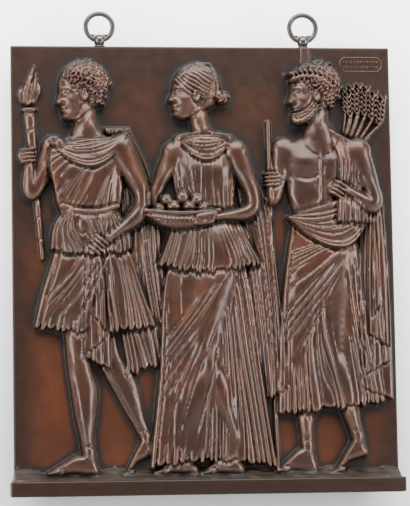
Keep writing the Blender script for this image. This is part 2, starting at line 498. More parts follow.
class Head:
    """a head in profile that faces -x: u runs back from the face and v up from the chin"""
    def __init__(self, R, x, z, size, tilt, base, rise):
        self.R, self.x, self.z, self.size, self.base, self.rise = R, x, z, size, base, rise
        self.cos, self.sin, self.k = math.cos(math.radians(tilt)), math.sin(math.radians(tilt)), size / 48
        R.lay(pillow([self.at(u, v) for u, v in FACE], base, rise, 0.30 * size))
        self.features()
    def at(self, u, v):
        x, z = u * self.cos - (v - 0.5) * self.sin, u * self.sin + (v - 0.5) * self.cos
        return self.x + x * self.size, self.z + z * self.size
    def swell(self, u, v, a, b, amount):
        self.R.swell(*self.at(u, v), a * self.size, b * self.size, amount * self.k, math.atan2(self.sin, self.cos))
    def stroke(self, *rows):
        self.R.stroke([(*self.at(u, v), w * self.size, a * self.k) for u, v, w, a in rows])
    def features(self):
        self.swell(-0.20, 0.30, 0.15, 0.13, 1.1)
        self.swell(-0.23, 0.17, 0.10, 0.08, -0.5)
        self.swell(-0.30, 0.055, 0.08, 0.06, 0.9)
        self.swell(-0.305, 0.45, 0.115, 0.075, -1.9)
        self.stroke((-0.43, 0.30, 0.03, 0.2), (-0.40, 0.40, 0.035, 0.5), (-0.385, 0.48, 0.045, 0.5))
        self.swell(-0.385, 0.285, 0.042, 0.036, 1.5)
        self.swell(-0.345, 0.265, 0.035, 0.05, -0.7)
        self.stroke((-0.400, 0.512, 0.04, 0.9), (-0.34, 0.535, 0.042, 1.5), (-0.25, 0.520, 0.04, 1.1), (-0.19, 0.485, 0.03, 0.4))
        self.swell(-0.305, 0.445, 0.062, 0.045, 1.7)
        self.stroke((-0.358, 0.438, 0.016, 0.6), (-0.318, 0.476, 0.018, 1.3), (-0.262, 0.470, 0.018, 1.1), (-0.220, 0.440, 0.014, 0.4))
        self.stroke((-0.355, 0.430, 0.014, 0.4), (-0.305, 0.408, 0.015, 0.9), (-0.25, 0.418, 0.013, 0.6), (-0.222, 0.436, 0.012, 0.3))
        self.stroke((-0.385, 0.212, 0.026, 0.8), (-0.345, 0.206, 0.030, 1.3), (-0.292, 0.184, 0.015, 0.3))
        self.stroke((-0.375, 0.152, 0.028, 0.8), (-0.335, 0.155, 0.032, 1.3), (-0.292, 0.178, 0.015, 0.2))
        self.stroke((-0.40, 0.180, 0.012, -1.3), (-0.34, 0.184, 0.014, -1.6), (-0.280, 0.178, 0.018, -1.2))
        self.swell(-0.350, 0.110, 0.05, 0.026, -0.8)
        self.stroke((0.02, 0.22, 0.05, 0.3), (-0.02, 0.10, 0.05, 0.8), (-0.14, 0.02, 0.05, 0.8), (-0.26, 0.00, 0.04, 0.5))
    def ear(self):
        k = self.k
        self.R.lay(ball(*self.at(0.035, 0.385), 0.062 * self.size, 0.105 * self.size, self.base + self.rise - 0.2 * k, 1.6 * k, 0.14), "small")
        self.stroke((-0.012, 0.40, 0.02, 0.6), (-0.005, 0.465, 0.02, 1.1), (0.05, 0.487, 0.02, 1.3), (0.088, 0.43, 0.02, 1.2), (0.075, 0.35, 0.02, 1.0), (0.035, 0.295, 0.024, 1.2))
        self.swell(0.03, 0.40, 0.032, 0.05, -1.6)
    def top(self, u, v):
        q = math.hypot((u - 0.03) / 0.47, (v - 0.56) / 0.47)
        return self.base + self.rise * math.sqrt(max(0.04, 1 - min(1, q) ** 2))
    def hair_cap(self):
        rows = [(-0.335, 0.66), (-0.32, 0.76), (-0.28, 0.875), (-0.15, 0.975), (0.03, 1.02), (0.25, 0.975), (0.42, 0.84), (0.485, 0.63), (0.445, 0.42), (0.34, 0.25), (0.19, 0.20),
                (0.125, 0.29), (0.115, 0.42), (0.06, 0.525), (-0.03, 0.50), (-0.085, 0.44), (-0.12, 0.50), (-0.15, 0.60), (-0.25, 0.645)]
        self.R.lay(pillow([self.at(u, v) for u, v in rows], self.base + 0.8, self.rise, 0.30 * self.size), "fine")
    def lock(self, u, v, turn, bend, length, wide, height):
        """one comma of hair"""
        rows = []
        for q in range(4):
            f = q / 3
            rows.append((*self.at(u + length * (math.cos(turn) * (f - 0.4) + 0.55 * f * f * math.cos(turn + bend * f)),
                                  v + length * (math.sin(turn) * (f - 0.4) + 0.55 * f * f * math.sin(turn + bend * f))),
                         (wide - 0.011 * f) * self.size, height, 2.6 * self.k))
        self.R.lay(tube(rows, 3), "fine")
    def curls(self, seed):
        """short locks in rings round the crown, back of the hairline"""
        for ring in range(8, -1, -1):
            far = 0.02 + ring * 0.058
            count = max(3, int(2 * math.pi * far / 0.098))
            for i in range(count):
                a = 2 * math.pi * (i + 0.5 * (ring % 2)) / count + 0.3 * (chance(i, seed + ring) - 0.5)
                u, v = 0.10 + far * math.cos(a) * 1.08, 0.66 + far * math.sin(a) * 0.95
                line = -0.335 + max(0, v - 0.72) * 0.95 if v > 0.62 else -0.14 if v > 0.52 else 0.02 if v > 0.44 else 0.13
                if u > line and v > 0.23 and math.hypot((u - 0.045) / 0.46, (v - 0.585) / 0.455) < 1:
                    turn = a + math.pi / 2 + 0.7 * (chance(i, seed + 7 * ring) - 0.5)
                    bend = 2.1 if chance(i, seed + 3 * ring) > 0.35 else -2.1
                    self.lock(u, v, turn, bend, 0.06, 0.031, self.top(u, v) - 0.4 * self.k)
    def beard(self, seed):
        """a short beard along the jaw"""
        rows = [(-0.02, 0.36), (-0.09, 0.22), (-0.20, 0.135), (-0.30, 0.125), (-0.375, 0.10), (-0.405, 0.02), (-0.36, -0.055),
                (-0.24, -0.075), (-0.10, -0.06), (0.02, 0.02), (0.07, 0.14), (0.06, 0.28)]
        self.R.lay(pillow([self.at(u, v) for u, v in rows], self.base + 2.0, self.rise - 1.0, 0.16 * self.size), "fine")
        for i in range(17):
            t = i / 16
            for row in range(3):
                u = mix(-0.375, 0.03, t) + 0.012 * row
                v = mix(0.075, 0.30, t ** 1.7) - 0.052 * row - 0.03 * math.sin(math.pi * t)
                self.lock(u, v, -1.9 + 0.9 * t + 0.5 * chance(i, seed + row), 1.6, 0.05, 0.026, self.base + self.rise * 0.74)
    def wreath(self):
        D = spline([self.at(u, v) for u, v in ((-0.345, 0.735), (-0.15, 0.77), (0.08, 0.74), (0.28, 0.63), (0.43, 0.47))], 8)
        high = self.base + self.rise * 0.86
        for i in range(1, len(D) - 2, 3):
            x, z = D[i]
            a = math.atan2(D[i + 1][1] - z, D[i + 1][0] - x) + math.pi
            for side in (-1, 1):
                b, c = a + side * 0.75, a + side * 0.55
                self.R.lay(tube([(x, z, 0.9, high, 2), (x + 3.5 * math.cos(b), z + 3.5 * math.sin(b), 2.0, high + 0.6, 2.4),
                                 (x + 7 * math.cos(c), z + 7 * math.sin(c), 0.6, high - 0.2, 1.6)], 4), "fine")
    def band(self):
        self.R.stroke([(*self.at(u, v), 0.035 * self.size, 1.4) for u, v in ((-0.36, 0.70), (-0.16, 0.72), (0.10, 0.66), (0.30, 0.55), (0.46, 0.42))])
    def rolled_hair(self):
        """locks drawn back in waves to a knot"""
        self.hair_cap()
        k, S = self.k, self.size
        self.R.lay(ball(*self.at(0.50, 0.44), 0.15 * S, 0.13 * S, self.base, self.rise * 0.85), "small")
        for i in range(10):
            t = i / 9
            rows = []
            for q in range(7):
                f = q / 6
                sway = math.sin(math.pi * f)
                u = mix(mix(-0.345, 0.02, t), 0.42, f) + 0.10 * sway * (t - 0.2)
                v = mix(mix(0.655, 1.0, t), 0.46, f) + (0.34 * t - 0.14) * sway + 0.010 * math.sin(14 * f + i)
                rows.append((*self.at(u, v), 0.036 * S, self.top(u, v) - 0.4 * k, 2.1 * k))
            self.R.lay(tube(rows, 3), "fine")
        for i in range(6):
            rows = []
            for q in range(4):
                a, r = i * math.pi / 3 + q * 0.5, 1 - 0.3 * q
                rows.append((*self.at(0.50 + 0.11 * math.cos(a) * r, 0.44 + 0.10 * math.sin(a) * r), 0.030 * S, self.base + self.rise * 0.62 + 0.9 * q, 2.0 * k))
            self.R.lay(tube(rows, 3), "fine")

def cascade(R, x0, x1, high, lows, base, rise, seed, fold=2.3):
    """a zigzag fall: strips over each other, each shorter than the last, with slanted ends"""
    w = x1 - x0
    for i, low in enumerate(lows):
        t = i / (len(lows) - 1)
        side = 1 if i % 2 else -1
        a = mix(x0, x0 + 0.42 * w, t)
        b = mix(x1, x1 - (0.42 if i % 2 else 0.2) * w, t)
        R.lay(curtain([(high, a + 0.1 * w), ((high + low) / 2, a), (low, a - 1)], [(high, b - 0.15 * w), ((high + low) / 2, b), (low, b + 1)],
                      base + 1.6 * i, rise, 4, fold, seed + i, gather=0.6, hem=2.0, slant=12 * side), "layer")

# ------------------------------------------------------------------ the three figures
def ground(R):
    X, Z = np.meshgrid(R.x, R.z)
    top = 21 + 1.3 * np.sin(X * 0.071 + 1.0) + 0.9 * np.sin(X * 0.163 + 2.2) + 0.5 * np.sin(X * 0.37)
    rough = 0.5 * np.sin(X * 0.23 + Z) * np.sin(X * 0.11 - Z * 0.4)
    slope = mix(15.0, 3.0, clamp((Z - 13) / (top - 13))) + rough
    R.H = np.maximum(R.H, np.where(Z < top, np.where(Z <= 13, 15.0, slope), 0))

def torch_bearer(R):
    leg(R, (-106, 200), (-84, 116), (-54, 50), 2.0, 5.5, 0.95)
    foot(R, (-54, 48), (-72, 19), 2.0, 5.5, heel_up=17)
    R.lay(curtain([(318, -92), (250, -84), (180, -80), (112, -70)], [(318, -64), (270, -44), (200, -36), (108, -22)], 2.0, 3.0, 11, 3.3, 4.0, 0.5, 5, 16), "layer")
    torch(R)
    body = trunk(-101, 274, 31, ((-100, 241), 24), 4.0, 9.5)
    R.lay(body)
    leg(R, (-101, 200), (-111, 114), (-103, 36), 3.6, 9.0, groove=1.2)
    foot(R, (-103, 34), (-137, 20), 3.6, 8.0)
    arm(R, (-130, 299), (-149, 260), (-152, 292), 3.0, 7.0, 0.92)
    skirt = curtain([(243, -123), (205, -133), (176, -142), (142, -150)], [(243, -77), (205, -64), (176, -55), (146, -44)], 4.8, 6.4, 17, 3.1, 2.0, 0.35, 4.5, 0, -4)
    R.lay(skirt, "cloth", cling=1.4, press=0.72)
    R.crease(within(fan(-70, 236, 6, 118, 196, 262, 0, 0, 10, 2.6, 6.0), skirt))
    R.lay(within(fan(-72, 312, 2, 98, 182, 272, 4.5, 9.5, 16, 2.3, 5.0), body, 1.0), "layer", cling=1.2, press=0.12)
    R.lay(curtain([(246, -124), (232, -132), (213, -135)], [(246, -76), (230, -66), (209, -64)], 6.0, 6.4, 15, 2.6, 5.0, 0.8, 3.5, 0, -4, 2.6, 0.1), "cloth", cling=1.0, press=0.1)
    R.lay(tube([(-124, 248, 2.4, 10, 3), (-100, 243, 2.6, 14.2, 3.6), (-76, 248, 2.4, 10, 3)], 6), "small")
    neck(R, (-101, 308), (-104, 332), 5.0, 9.0, 11.0)
    R.lay(swag((-135, 306), (-66, 314), 3, 24, 6.0, 6.5, 7, 2.1, 3.0), "layer", cling=1.6, press=0.1)
    head = Head(R, -106, 350, 52, 3, 5.0, 10.5)
    head.hair_cap()
    head.curls(3)
    head.ear()
    head.band()
    hand(R, -152, 293, 96, 5.0, 5.5, 0.98)
    arm(R, (-72, 298), (-54, 250), (-84, 220), 8.0, 9.0)
    cascade(R, -106, -84, 214, [112, 128, 146], 8.5, 3.0, 8.0)
    hand(R, -93, 214, 50, 11.0, 6.0, 1.08)
    R.lay(ball(-126, 303, 5, 5, 12, 4), "small")

def torch(R):
    R.lay(tube([(-141, 204, 2.4, 2, 2.8), (-147, 278, 3.8, 2, 3.6), (-151, 330, 5.6, 2, 5)], 5), "small")
    for i in range(6):
        z = 220 + i * 19
        x = -141 - (z - 204) * 0.08
        R.stroke([(x - 5, z - 1.5, 1.5, -1.0), (x + 5, z + 2.5, 1.5, -1.0)])
    R.lay(ball(-151.2, 333, 8.2, 3.0, 3, 5.0), "small")
    R.lay(ball(-151.6, 339, 6.8, 2.6, 3, 4.2), "small")
    for dx, tall, w in ((-4.8, 17, 3.0), (4.6, 20, 3.2), (-0.5, 31, 4.4), (2.6, 24, 2.8), (-2.6, 22, 2.6)):
        R.lay(tube([(-152 + dx, 341, w, 2.5, 3.8), (-150.5 + dx * 1.6, 341 + tall * 0.45, w * 0.95, 2.5, 3.4),
                    (-148 + dx * 0.9, 341 + tall * 0.8, w * 0.5, 2.2, 2.2), (-146 + dx * 0.5, 341 + tall, 0.8, 1.5, 1)], 4), "small")

def fruit_bearer(R):
    foot(R, (-18, 34), (-44, 20), 3.0, 6.5)
    R.lay(curtain([(308, 20), (250, 30), (170, 38), (88, 44)], [(308, 30), (262, 52), (180, 64), (82, 70)], 2.2, 3.4, 9, 3.2, 11.0, 0.5, 5, 14, 0, 0, 0.2), "layer")
    body = trunk(0, 272, 27, ((1, 244), 20), 4.0, 8.5)
    R.lay(body)
    for x in (-12, 13):
        R.lay(ball(x, 279, 12, 11.5, 7.5, 8.0), soft=5, groove=0)
    leg(R, (-10, 200), (-16, 116), (-16, 36), 3.0, 6.5, 1.0, 4, 0)
    leg(R, (14, 202), (-4, 126), (24, 46), 5.5, 9.5, 1.08, 3, 0.4)
    foot(R, (22, 36), (-4, 19), 5.0, 7.5)
    skirt = curtain([(236, -22), (190, -35), (110, -42), (22, -52)], [(236, 24), (190, 37), (110, 47), (20, 60)], 3.6, 6.5, 21, 3.4, 6.0, 0.4, 4.5, 0, 7)
    R.lay(skirt, "cloth", cling=1.4, press=0.82)
    R.crease(within(fan(30, 214, 10, 190, 226, 262, 0, 0, 11, 2.5, 8.0), skirt))
    over = curtain([(318, -26), (282, -29), (250, -26), (222, -33), (196, -43)], [(318, 26), (282, 30), (250, 26), (222, 36), (200, 48)], 5.5, 7.0, 18, 2.4, 1.0, 0.5, 5, 0, -7, 0, 0.35)
    mask = pillow([(-30, 305), (-9, 314), (9, 314), (32, 305), (34, 250), (56, 190), (0, 178), (-52, 186), (-32, 250)], 0, 0, 5)
    R.lay(within(over, mask), "cloth", cling=1.3, press=0.45)
    R.lay(within(swag((-24, 309), (26, 310), 0, 21, 7.5, 6.5, 6, 1.7, 2.0), body, 1), "layer", cling=1.3, press=0.1)
    neck(R, (1, 306), (-5, 330), 5.0, 8.5, 9.2)
    head = Head(R, -8, 349, 50, -5, 5.0, 10.5)
    head.rolled_hair()
    head.ear()
    arm(R, (-26, 295), (-44, 256), (-40, 238), 3.5, 7.0, 0.84)
    basket(R, -20, 238, 31, 13.0)
    arm(R, (28, 295), (42, 248), (8, 238), 10.5, 7.5, 0.86)
    for i in range(4):
        R.lay(tube([(8 - i, 242 - i * 2.6, 2.3, 17, 2.4), (-i * 1.2, 240 - i * 2.4, 2.2, 18.0, 2.4), (-8 - i * 0.6, 238.5 - i * 2.0, 1.9, 18.2, 2)], 3), "fine")

def basket(R, x, z, w, base):
    for dx, dz, r in ((-20, 8, 5.5), (-8, 10, 6.5), (6, 10, 6.2), (18, 8, 5.8), (-14, 16, 5.6), (0, 18, 6.2), (12, 16, 5.2), (-26, 5, 4.0), (25, 5, 4.2)):
        R.lay(ball(x + dx, z + dz, r, r, base - 2, 6.0), "small")
        R.swell(x + dx + 1, z + dz + 1 + r * 0.35, 1.6, 1.3, -1.2)
    R.lay(pillow([(x - w, z + 5), (x - w * 0.75, z - 5), (x - w * 0.35, z - 10), (x + w * 0.35, z - 10), (x + w * 0.75, z - 5), (x + w, z + 5)], base - 1.0, 6.5, 8.0), "small")
    for row in range(3):
        count, half = 15 - row * 2, w * (0.96 - 0.17 * row)
        for i in range(count):
            cx, cz = x - half + 2 * half * (i + 0.5 + 0.5 * (row % 2)) / count, z + 1.5 - row * 3.6
            R.stroke([(cx - 2.0, cz - 1.4, 1.5, 0.9), (cx + 2.0, cz + 1.4, 1.5, 0.9)], 2)
    R.lay(tube([(x - w - 1, z + 6, 2.2, base, 3.5), (x, z + 3.5, 2.4, base + 4.0, 3.5), (x + w + 1, z + 6, 2.2, base, 3.5)], 6), "small")

def sheaf_bearer(R):
    leg(R, (92, 196), (84, 118), (86, 42), 2.5, 6.5, 0.98)
    foot(R, (86, 38), (60, 20), 2.5, 6.5)
    leg(R, (110, 196), (112, 116), (130, 48), 4.0, 8.5)
    foot(R, (130, 46), (110, 19), 4.0, 7.5, heel_up=14)
    sheaf(R)
    body = trunk(103, 275, 33, ((103, 241), 26), 4.0, 10.0)
    R.lay(body)
    for x in (88, 117):
        R.swell(x, 287, 17, 13, 2.6)
    R.stroke([(72, 281, 3.5, -0.4), (80, 274.5, 3.5, -1.3), (92, 272.5, 3.2, -1.5), (102, 278, 3, -0.8)])
    R.stroke([(103.5, 303, 3, -0.5), (103, 277, 3.2, -1.5), (102.5, 250, 3.2, -1.3), (102, 228, 3, -0.6)])
    for dz in (0, 12, 24):
        for x in (95, 110):
            R.swell(x, 262 - dz, 7.5, 6, 1.3)
    R.stroke([(74, 260, 4, 0.5), (80, 252, 4, 0.8), (84, 242, 4, 0.3)])
    arm(R, (71, 297), (60, 254), (58, 270), 3.5, 7.5, 0.95)
    R.lay(tube([(60, 20, 2.4, 3, 3.5), (58, 160, 2.5, 3, 3.5), (57, 322, 2.6, 3, 3.5)], 4), "small")
    skirt = curtain([(236, 76), (200, 70), (140, 63), (70, 60)], [(236, 132), (200, 138), (140, 147), (84, 156)], 4.6, 7.0, 17, 3.2, 9.0, 0.45, 4.5, 10)
    R.lay(skirt, "cloth", cling=1.5, press=0.68)
    R.crease(within(fan(140, 232, 8, 150, 192, 246, 0, 0, 13, 2.8, 4.0), skirt))
    R.lay(swag((70, 240), (148, 268), 2, 40, 6.5, 8.0, 9, 2.6, 2.0), "cloth", cling=1.8, press=0.1)
    R.lay(within(curtain([(318, 108), (290, 116), (236, 114)], [(318, 136), (290, 146), (232, 148)], 7.0, 7.0, 9, 2.5, 3.0, 0.8, 2, 0, 0, 0, 0.1), 
                 pillow([(104, 318), (124, 309), (140, 301), (150, 290), (152, 226), (108, 228), (112, 280)], 0, 0, 3)), "cloth", cling=1.6, press=0.1)
    neck(R, (102, 308), (100, 332), 5.0, 9.0, 11.0)
    head = Head(R, 97, 350, 52, 0, 5.0, 10.5)
    head.hair_cap()
    head.curls(9)
    head.beard(4)
    head.ear()
    head.wreath()
    cascade(R, 134, 162, 262, [84, 106, 130, 156], 3.5, 3.4, 12.0, 3.0)
    arm(R, (135, 295), (149, 250), (124, 262), 9.5, 9.0)
    hand(R, 117, 262, 60, 11.5, 6.0, 1.05)
    hand(R, 58, 272, 92, 5.5, 5.5, 0.98, -1)

def sheaf(R):
    for i in range(11):
        t, low = i / 10, 3 + 2 * (i % 2)
        x, z = mix(126, 159, t), 344 - 12 * abs(t - 0.35) - 6 * (i % 2) - 10 * max(0, t - 0.6)
        R.lay(tube([(114 + t * 5, 256, 1.5, low, 3), (mix(122, 142, t), 303, 1.7, low, 3), (x, z - 8, 1.6, low, 3)], 5), "fine")
        for e in range(5):
            f = e / 4
            ex, ez = x + mix(-1.0, 2.0, f) * (t - 0.3), z - 8 + f * 17
            for s in (-1, 1):
                R.lay(tube([(ex, ez, 1.3, low + 1, 2.2), (ex + s * 2.4, ez + 4.6, 1.2, low + 1, 1.8)], 2), "fine")

def stud_root(R):
    """the rib that runs from the right stud down to the head below it"""
    R.lay(tube([(90.6, 396, 5, 0, 2.5), (91.6, 384, 5.5, 0, 3), (93, 374, 8, 0, 3.4)]), soft=3, groove=0)

def build(columns, rows):
    R = Relief(columns, rows)
    ground(R)
    torch_bearer(R)
    sheaf_bearer(R)
    fruit_bearer(R)
    stud_root(R)
    return R


# ---------------------------------------------------------------- finishes
class Value:
    """A shader socket on which sums are written as sums"""
    def __init__(self, finish, socket):
        self.finish, self.socket = finish, socket

    def maths(self, operation, first, second):
        return self.finish.node("ShaderNodeMath", {"operation": operation}, {0: first, 1: second})

    def __add__(self, other):
        return self.maths("ADD", self, other)

    def __radd__(self, other):
        return self.maths("ADD", other, self)

    def __sub__(self, other):
        return self.maths("SUBTRACT", self, other)

    def __rsub__(self, other):
        return self.maths("SUBTRACT", other, self)

    def __mul__(self, other):
        return self.maths("MULTIPLY", self, other)

    def __rmul__(self, other):
        return self.maths("MULTIPLY", other, self)

    def __pow__(self, other):
        return self.maths("POWER", self, other)


class Finish:
    """One material and the nodes that make it"""
    def __init__(self, name):
        self.material = bpy.data.materials.new(name)
        self.material.use_nodes = True
        self.tree = self.material.node_tree
        self.tree.nodes.clear()

    def node(self, kind, settings=None, sockets=None, output=0):
        """adds a node: its settings first, then the values or links of its sockets"""
        node = self.tree.nodes.new(kind)
        for name, value in (settings or {}).items():
            if name == "stops":
                ramp = node.color_ramp.elements
                while len(ramp) < len(value):
                    ramp.new(0.5)
                for element, (place, colour) in zip(ramp, value):
                    element.position, element.color = place, (*colour, 1)
            else:
                setattr(node, name, value)
        for name, value in (sockets or {}).items():
            if isinstance(name, int):
                socket = node.inputs[name]
            else:
                socket = next(s for s in node.inputs if name in (s.identifier, s.name))
            if isinstance(value, Value):
                self.tree.links.new(value.socket, socket)
            else:
                socket.default_value = value
        if isinstance(output, int):
            return Value(self, node.outputs[output])
        return Value(self, next(s for s in node.outputs if output in (s.identifier, s.name)))

    def place(self):
        return self.node("ShaderNodeTexCoord", output="Object")

    def mask(self, name):
        """a value from 0 to 1 kept on the mesh's points"""
        return self.node("ShaderNodeAttribute", {"attribute_name": name}, output="Fac")

    def noise(self, place, size, detail=3.0, rough=0.55, twist=0.0):
        """cloudy noise whose features are about that size in metres"""
        return self.node("ShaderNodeTexNoise", {}, {"Vector": place, "Scale": 1 / size, "Detail": detail,
                                                    "Roughness": rough, "Distortion": twist}, "Fac")

    def span(self, value, low, high, start=0.0, end=1.0):
        """start below low, end above high, and a soft change between them"""
        return self.node("ShaderNodeMapRange", {"interpolation_type": "SMOOTHSTEP"},
                         {"Value": value, "From Min": low, "From Max": high, "To Min": start, "To Max": end}, "Result")

    def mix(self, first, second, factor, blend="MIX"):
        """colours, mixed by a factor"""
        first, second = (c if isinstance(c, Value) else (*c, 1) for c in (first, second))
        return self.node("ShaderNodeMix", {"data_type": "RGBA", "blend_type": blend},
                         {"Factor_Float": factor, "A_Color": first, "B_Color": second}, "Result_Color")

    def bump(self, height, depth, under=None):
        sockets = {"Height": height, "Distance": depth, "Strength": 1.0}
        if under:
            sockets["Normal"] = under
        return self.node("ShaderNodeBump", {}, sockets, "Normal")

    def surface(self, **sockets):
        """the metal itself; socket names are written with _ for a space"""
        named = {name.replace("_", " "): value for name, value in sockets.items()}
        return self.shown(self.node("ShaderNodeBsdfPrincipled", {}, named, "BSDF"))

    def shown(self, shader):
        """ends the material with its shader"""
        out = self.tree.nodes.new("ShaderNodeOutputMaterial")
        self.tree.links.new(shader.socket, out.inputs["Surface"])
        return self.material


def plaque_bronze(colours):
    """red-brown ground, darker glossy figures, near-black hollows, green-black tops, rubbed crests"""
    f = Finish("plaque_bronze")
    place = f.place()
    recess, crest, raised, skyward, sheltered, rim = (
        f.mask(name) for name in ("recess", "crest", "raised", "skyward", "sheltered", "rim"))
    clouds = f.noise(place, 0.060, 4, 0.6, 0.6)
    mottle = f.noise(place, 0.011, 5, 0.65)
    grain = f.noise(place, 0.0022, 4, 0.7)
    stain = f.noise(place, 0.03, 5, 0.7, 1.2)
    ground = f.mix(colours.ground, colours.ground_bright, f.span(clouds * 0.6 + mottle * 0.25 + grain * 0.15, 0.44, 0.62))
    shade = f.span(rim * 0.85 + sheltered * 0.45 + stain * 0.5, 0.42, 1.15)
    ground = f.mix(ground, colours.ground_dark, shade)
    ground = f.mix(ground, colours.ground_dark, f.span(mottle * 0.6 + grain * 0.4, 0.48, 0.66, 0.0, 0.4))
    figure = f.mix(colours.figures, colours.figures_red, f.span(clouds * 0.5 + stain * 0.5, 0.44, 0.62))
    figure = f.mix(figure, colours.ground_dark, f.span(mottle * 0.5 + stain * 0.5, 0.50, 0.68, 0.0, 0.55))
    colour = f.mix(ground, figure, raised)
    film = f.span(skyward + stain * 0.7, 0.72, 1.15)
    colour = f.mix(colour, colours.verdigris, film * 0.75)
    colour = f.mix(colour, colours.hollows, f.span(recess + mottle * 0.25, 0.25, 1.0, 0.0, 0.92))
    worn = f.span(crest + mottle * 0.35, 0.5, 1.0) * (1 - film * 0.6)
    colour = f.mix(colour, colours.rubbed, worn * 0.35)
    speck = f.span(f.noise(place, 0.004, 2, 0.5), 0.70, 0.76)
    colour = f.mix(colour, colours.hollows, speck * 0.5)
    rough = f.span(mottle, 0.3, 0.75, 0.34, 0.44) + film * 0.12 + recess * 0.12 - worn * 0.04
    rough = rough + (1 - raised) * 0.04
    normal = f.bump(mottle, 0.00010)
    normal = f.bump(grain, 0.00003, normal)
    coat = (1 - film * 0.6) * (1 - recess) * (0.03 + raised * 0.12)
    return f.surface(Base_Color=colour, Metallic=f.span(recess + film, 0.2, 1.2, 0.55, 0.3), Roughness=rough,
                     Coat_Weight=coat, Coat_Roughness=0.17, Specular_IOR_Level=0.26, Normal=normal)


def plain_bronze(name, tone, dark, rubbed, size, rough, gloss):
    """patinated bronze without the casting's masks: cloudy tone, dark film, rubbed places"""
    f = Finish(name)
    place = f.place()
    clouds = f.noise(place, size, 4, 0.6, 0.4)
    mottle = f.noise(place, size * 0.2, 4, 0.65)
    colour = f.mix(tone, dark, f.span(clouds * 0.6 + mottle * 0.4, 0.45, 0.68))
    colour = f.mix(colour, rubbed, f.span(mottle * 0.6 + (1 - clouds) * 0.4, 0.55, 0.72, 0.0, 0.35))
    normal = f.bump(mottle, 0.00006)
    return f.surface(Base_Color=colour, Metallic=0.65, Roughness=f.span(mottle, 0.3, 0.7, rough, rough + 0.14),
                     Coat_Weight=gloss, Coat_Roughness=0.2, Normal=normal)


def one_sided(name, tone):
    """a pale matt face, darker towards its foot and clear from behind, for the wall and the floor"""
    f = Finish(name)
    place = f.place()
    height = f.node("ShaderNodeSeparateXYZ", {}, {0: place}, "Z")
    colour = f.mix(tuple(c * 0.52 for c in tone), tone, f.span(height, LOW.z - 0.05, HIGH.z + 0.01))
    face = f.node("ShaderNodeBsdfDiffuse", {}, {"Color": colour}, "BSDF")
    clear = f.node("ShaderNodeBsdfTransparent", {}, {}, "BSDF")
    behind = f.node("ShaderNodeNewGeometry", output="Backfacing")
    return f.shown(f.node("ShaderNodeMixShader", {}, {0: behind, 1: face, 2: clear}, "Shader"))


# ---------------------------------------------------------------- meshes
def new_object(name, mesh):
    thing = bpy.data.objects.new(name, mesh)
    bpy.context.scene.collection.objects.link(thing)
    return thing


def mesh_of(name, points, faces):
    """a mesh from an array of points and arrays of faces, each with one number of corners"""
    mesh = bpy.data.meshes.new(name)
    mesh.vertices.add(len(points))
    mesh.vertices.foreach_set("co", np.asarray(points, np.float32).ravel())
    corners = np.concatenate([np.full(len(f), f.shape[1]) for f in faces])
    loops = np.concatenate([f.ravel() for f in faces])
    mesh.loops.add(len(loops))
    mesh.loops.foreach_set("vertex_index", loops.astype(np.int32))
    mesh.polygons.add(len(corners))
    mesh.polygons.foreach_set("loop_start", np.concatenate([[0], np.cumsum(corners)[:-1]]).astype(np.int32))
    mesh.update(calc_edges=True)
    mesh.validate()
    return mesh


def points_of(mesh):
    points = np.zeros(len(mesh.vertices) * 3, np.float32)
    mesh.vertices.foreach_get("co", points)
    return points.reshape(-1, 3)


def settled(thing, name=None):
    """the object with its modifiers worked out, as a plain mesh"""
    graph = bpy.context.evaluated_depsgraph_get()
    mesh = bpy.data.meshes.new_from_object(thing.evaluated_get(graph))
    thing.modifiers.clear()
    old, thing.data = thing.data, mesh
    mesh.name = name or thing.name
    bpy.data.meshes.remove(old)
    return thing


def joined(thing, others):
    """the solid union of an object and others, which are used up"""
    for other in others:
        union = thing.modifiers.new("union", "BOOLEAN")
        union.operation, union.solver, union.object = "UNION", "MANIFOLD", other
    settled(thing)
    for other in others:
        bpy.data.objects.remove(other)
    return thing


def dressed(thing, material, body, slot, *nodes):
    """gives a finished piece its material, body, slot and the solids it stands for"""
    thing.data.materials.clear()
    thing.data.materials.append(material)
    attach(thing, body)
    if nodes:
        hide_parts(*nodes)
    return thing


def halves(first, second, apex):
    """right-angled triangles cut in two from the apex to the middle of the long side"""
    middle = (first + second) // 2
    return (np.concatenate([apex, second]), np.concatenate([first, apex]), np.concatenate([middle, middle]))


def fitted_triangles(relief, fields, limit):
    """triangles on the relief's square grid, small where the surface bends, and at most that many"""
    cells = len(relief.x) - 1
    start = (np.array([[0, 0], [cells, cells]]), np.array([[cells, cells], [0, 0]]), np.array([[cells, 0], [0, cells]]))
    levels = [start]
    for level in range(2 * int(math.log2(cells)) - 1):
        levels.append(halves(*levels[-1]))
    need = np.zeros((cells + 1, cells + 1))
    flat = lambda p: p[:, 1] * (cells + 1) + p[:, 0]
    for depth, (first, second, apex) in reversed(list(enumerate(levels))):
        middle = (first + second) // 2
        error = np.zeros(len(middle))
        for field, weight in fields:
            value = field.ravel()
            error += weight * np.abs(value[flat(middle)] - (value[flat(first)] + value[flat(second)]) / 2)
        if depth < len(levels) - 1:
            for corner in (first, second):
                error = np.maximum(error, need.ravel()[flat((corner + apex) // 2)])
        if 2 ** (-depth / 2) > COARSEST:
            error[:] = 1e9
        np.maximum.at(need.reshape(-1), flat(middle), error)

    def cut(tolerance):
        kept, (first, second, apex) = [], start
        for depth in range(len(levels)):
            split = need.ravel()[flat((first + second) // 2)] > tolerance
            kept.append(np.stack([flat(c[~split]) for c in (second, first, apex)], axis=1))
            first, second, apex = halves(first[split], second[split], apex[split])
        kept.append(np.stack([flat(c) for c in (second, first, apex)], axis=1))
        return np.concatenate(kept)

    low, high = 0.0, 1.0
    for again in range(16):
        tolerance = (low + high) / 2
        low, high = (tolerance, high) if len(cut(tolerance)) > limit else (low, tolerance)
    return cut(high)


